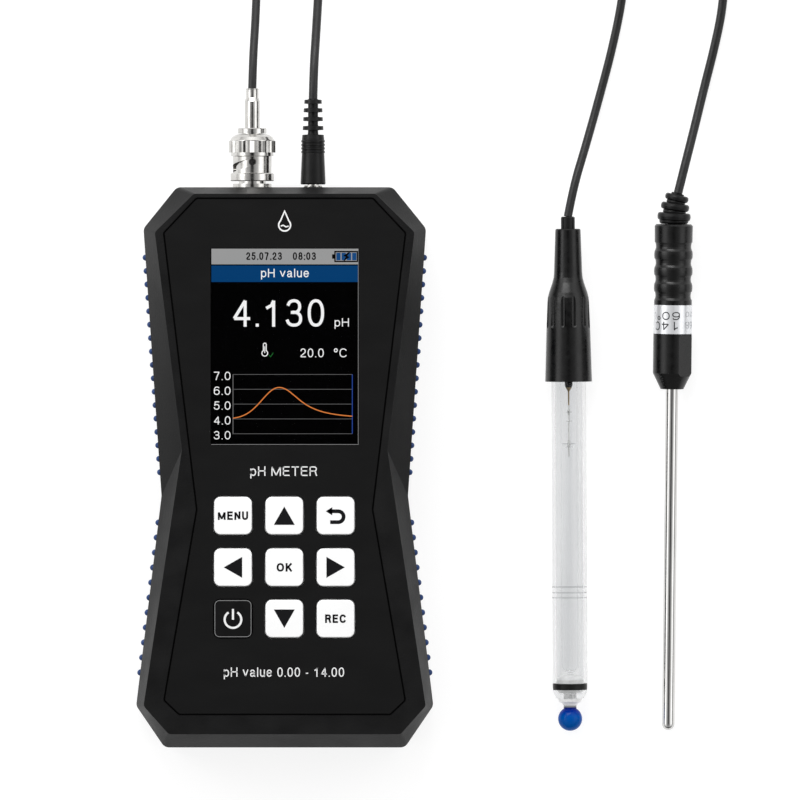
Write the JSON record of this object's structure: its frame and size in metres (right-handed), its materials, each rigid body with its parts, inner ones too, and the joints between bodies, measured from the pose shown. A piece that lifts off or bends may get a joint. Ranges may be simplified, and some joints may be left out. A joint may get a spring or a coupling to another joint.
{
  "type": "handheld ph meter",
  "caption": "Handheld pH meter with colour display and nine keys, with a bayonet-plugged pH electrode and a jack-plugged temperature probe on thin cords.",
  "frame": {"origin": "centre of the meter's flat back, on the table that the meter and both probes lie on", "axes": "+Z out of the display, +Y towards the sockets on the top wall, +X to the display's right"},
  "size_m": [0.1747, 0.3066, 0.0321],
  "materials": {
    "case_black": "fine-grained black plastic",
    "overlay_black": "glossy black sheet",
    "window_clear": "clear lens",
    "lcd_dark": "dark display glass",
    "key_white": "satin white silicone",
    "key_black": "satin black silicone",
    "grip_blue": "blue rubber",
    "seal_rubber": "black rubber",
    "silicone_grey": "grey silicone",
    "inner_black": "black moulding",
    "board_green": "green circuit board",
    "battery_silver": "silver pouch",
    "lead_red": "red insulated lead",
    "contact_gold": "gold-plated contact",
    "steel": "zinc-plated steel",
    "steel_sheath": "drawn stainless steel",
    "nickel": "bright nickel plate",
    "insulator_white": "white insulator",
    "plug_black": "soft black moulding",
    "probe_black": "satin black moulding",
    "tube_clear": "clear tube",
    "silver_wire": "silver wire",
    "tip_white": "white plug",
    "bulb_blue": "deep blue glossy glass",
    "band_white": "white band",
    "ph_cord": "thin black coaxial cord",
    "temp_cord": "thin black two-core cord"
  },
  "bodies": {
    "meter": {"battery_lead": "lead_red", "battery_pack": "battery_silver", "bnc_jack_contact": "contact_gold", "bnc_jack_insulator": "insulator_white", "bnc_jack_shell": "nickel", "board_components": "inner_black", "board_screws": "steel", "case_screws": "steel", "case_seal": "seal_rubber", "display_window": "window_clear", "front_case": "case_black", "front_overlay": "overlay_black", "grip_strips": "grip_blue", "jack_nuts": "nickel", "key_contacts": "contact_gold", "keypad_mat": "silicone_grey", "lcd_frame": "inner_black", "lcd_panel": "lcd_dark", "main_board": "board_green", "rear_case": "case_black", "temp_jack": "inner_black", "temp_jack_bushing": "nickel", "usb_socket": "nickel"},
    "ph_probe_set": {"bnc_plug_body": "nickel", "bnc_ferrule": "nickel", "bnc_plug_insulator": "insulator_white", "bnc_plug_pin": "contact_gold", "bnc_gasket": "seal_rubber", "ph_cable_meter_end": "ph_cord", "ph_cable_coil": "ph_cord", "ph_cable_probe_end": "ph_cord", "electrode_neck": "plug_black", "electrode_cap": "probe_black", "electrode_tube": "tube_clear", "electrode_inner_tube": "tube_clear", "electrode_wire": "silver_wire", "electrode_band": "seal_rubber", "electrode_tip_plug": "tip_white", "electrode_bulb": "bulb_blue"},
    "bayonet_collar": {"bnc_collar": "nickel"},
    "temp_probe_set": {"temp_plug_body": "plug_black", "temp_plug_barrel": "nickel", "temp_cable_meter_end": "temp_cord", "temp_cable_coil": "temp_cord", "temp_cable_probe_end": "temp_cord", "temp_probe_relief": "plug_black", "temp_probe_handle": "probe_black", "temp_probe_band": "band_white", "temp_probe_sheath": "steel_sheath", "thermistor_bead": "inner_black"},
    "key_menu_cap": {"key_menu": "key_white"},
    "key_up_cap": {"key_up": "key_white"},
    "key_back_cap": {"key_back": "key_white"},
    "key_left_cap": {"key_left": "key_white"},
    "key_ok_cap": {"key_ok": "key_white"},
    "key_right_cap": {"key_right": "key_white"},
    "key_power_cap": {"key_power": "key_black"},
    "key_down_cap": {"key_down": "key_white"},
    "key_rec_cap": {"key_rec": "key_white"}
  },
  "joints": [
    {"name": "key_menu_press", "type": "slide", "parent": "meter", "child": "key_menu_cap", "axis": [0, 0, 1], "range_m": [-0.0005, 0], "stiffness_N_per_m": 300},
    {"name": "key_up_press", "type": "slide", "parent": "meter", "child": "key_up_cap", "axis": [0, 0, 1], "range_m": [-0.0005, 0], "stiffness_N_per_m": 300},
    {"name": "key_back_press", "type": "slide", "parent": "meter", "child": "key_back_cap", "axis": [0, 0, 1], "range_m": [-0.0005, 0], "stiffness_N_per_m": 300},
    {"name": "key_left_press", "type": "slide", "parent": "meter", "child": "key_left_cap", "axis": [0, 0, 1], "range_m": [-0.0005, 0], "stiffness_N_per_m": 300},
    {"name": "key_ok_press", "type": "slide", "parent": "meter", "child": "key_ok_cap", "axis": [0, 0, 1], "range_m": [-0.0005, 0], "stiffness_N_per_m": 300},
    {"name": "key_right_press", "type": "slide", "parent": "meter", "child": "key_right_cap", "axis": [0, 0, 1], "range_m": [-0.0005, 0], "stiffness_N_per_m": 300},
    {"name": "key_power_press", "type": "slide", "parent": "meter", "child": "key_power_cap", "axis": [0, 0, 1], "range_m": [-0.0005, 0], "stiffness_N_per_m": 300},
    {"name": "key_down_press", "type": "slide", "parent": "meter", "child": "key_down_cap", "axis": [0, 0, 1], "range_m": [-0.0005, 0], "stiffness_N_per_m": 300},
    {"name": "key_rec_press", "type": "slide", "parent": "meter", "child": "key_rec_cap", "axis": [0, 0, 1], "range_m": [-0.0005, 0], "stiffness_N_per_m": 300},
    {"name": "ph_plug_pull", "type": "slide", "parent": "meter", "child": "ph_probe_set", "axis": [0, 1, 0], "range_m": [0, 0.0023]},
    {"name": "bayonet_turn", "type": "hinge", "parent": "ph_probe_set", "child": "bayonet_collar", "pos_m": [-0.00963, 0.09, 0.016], "axis": [0, 1, 0], "range_deg": [0, 90]},
    {"name": "temp_plug_pull", "type": "slide", "parent": "meter", "child": "temp_probe_set", "axis": [0, 1, 0], "range_m": [0, 0.0144]}
  ],
  "couplings": [
    {"joint": "bayonet_turn", "follows": "ph_plug_pull", "rad_per_m": 682.9}
  ]
}
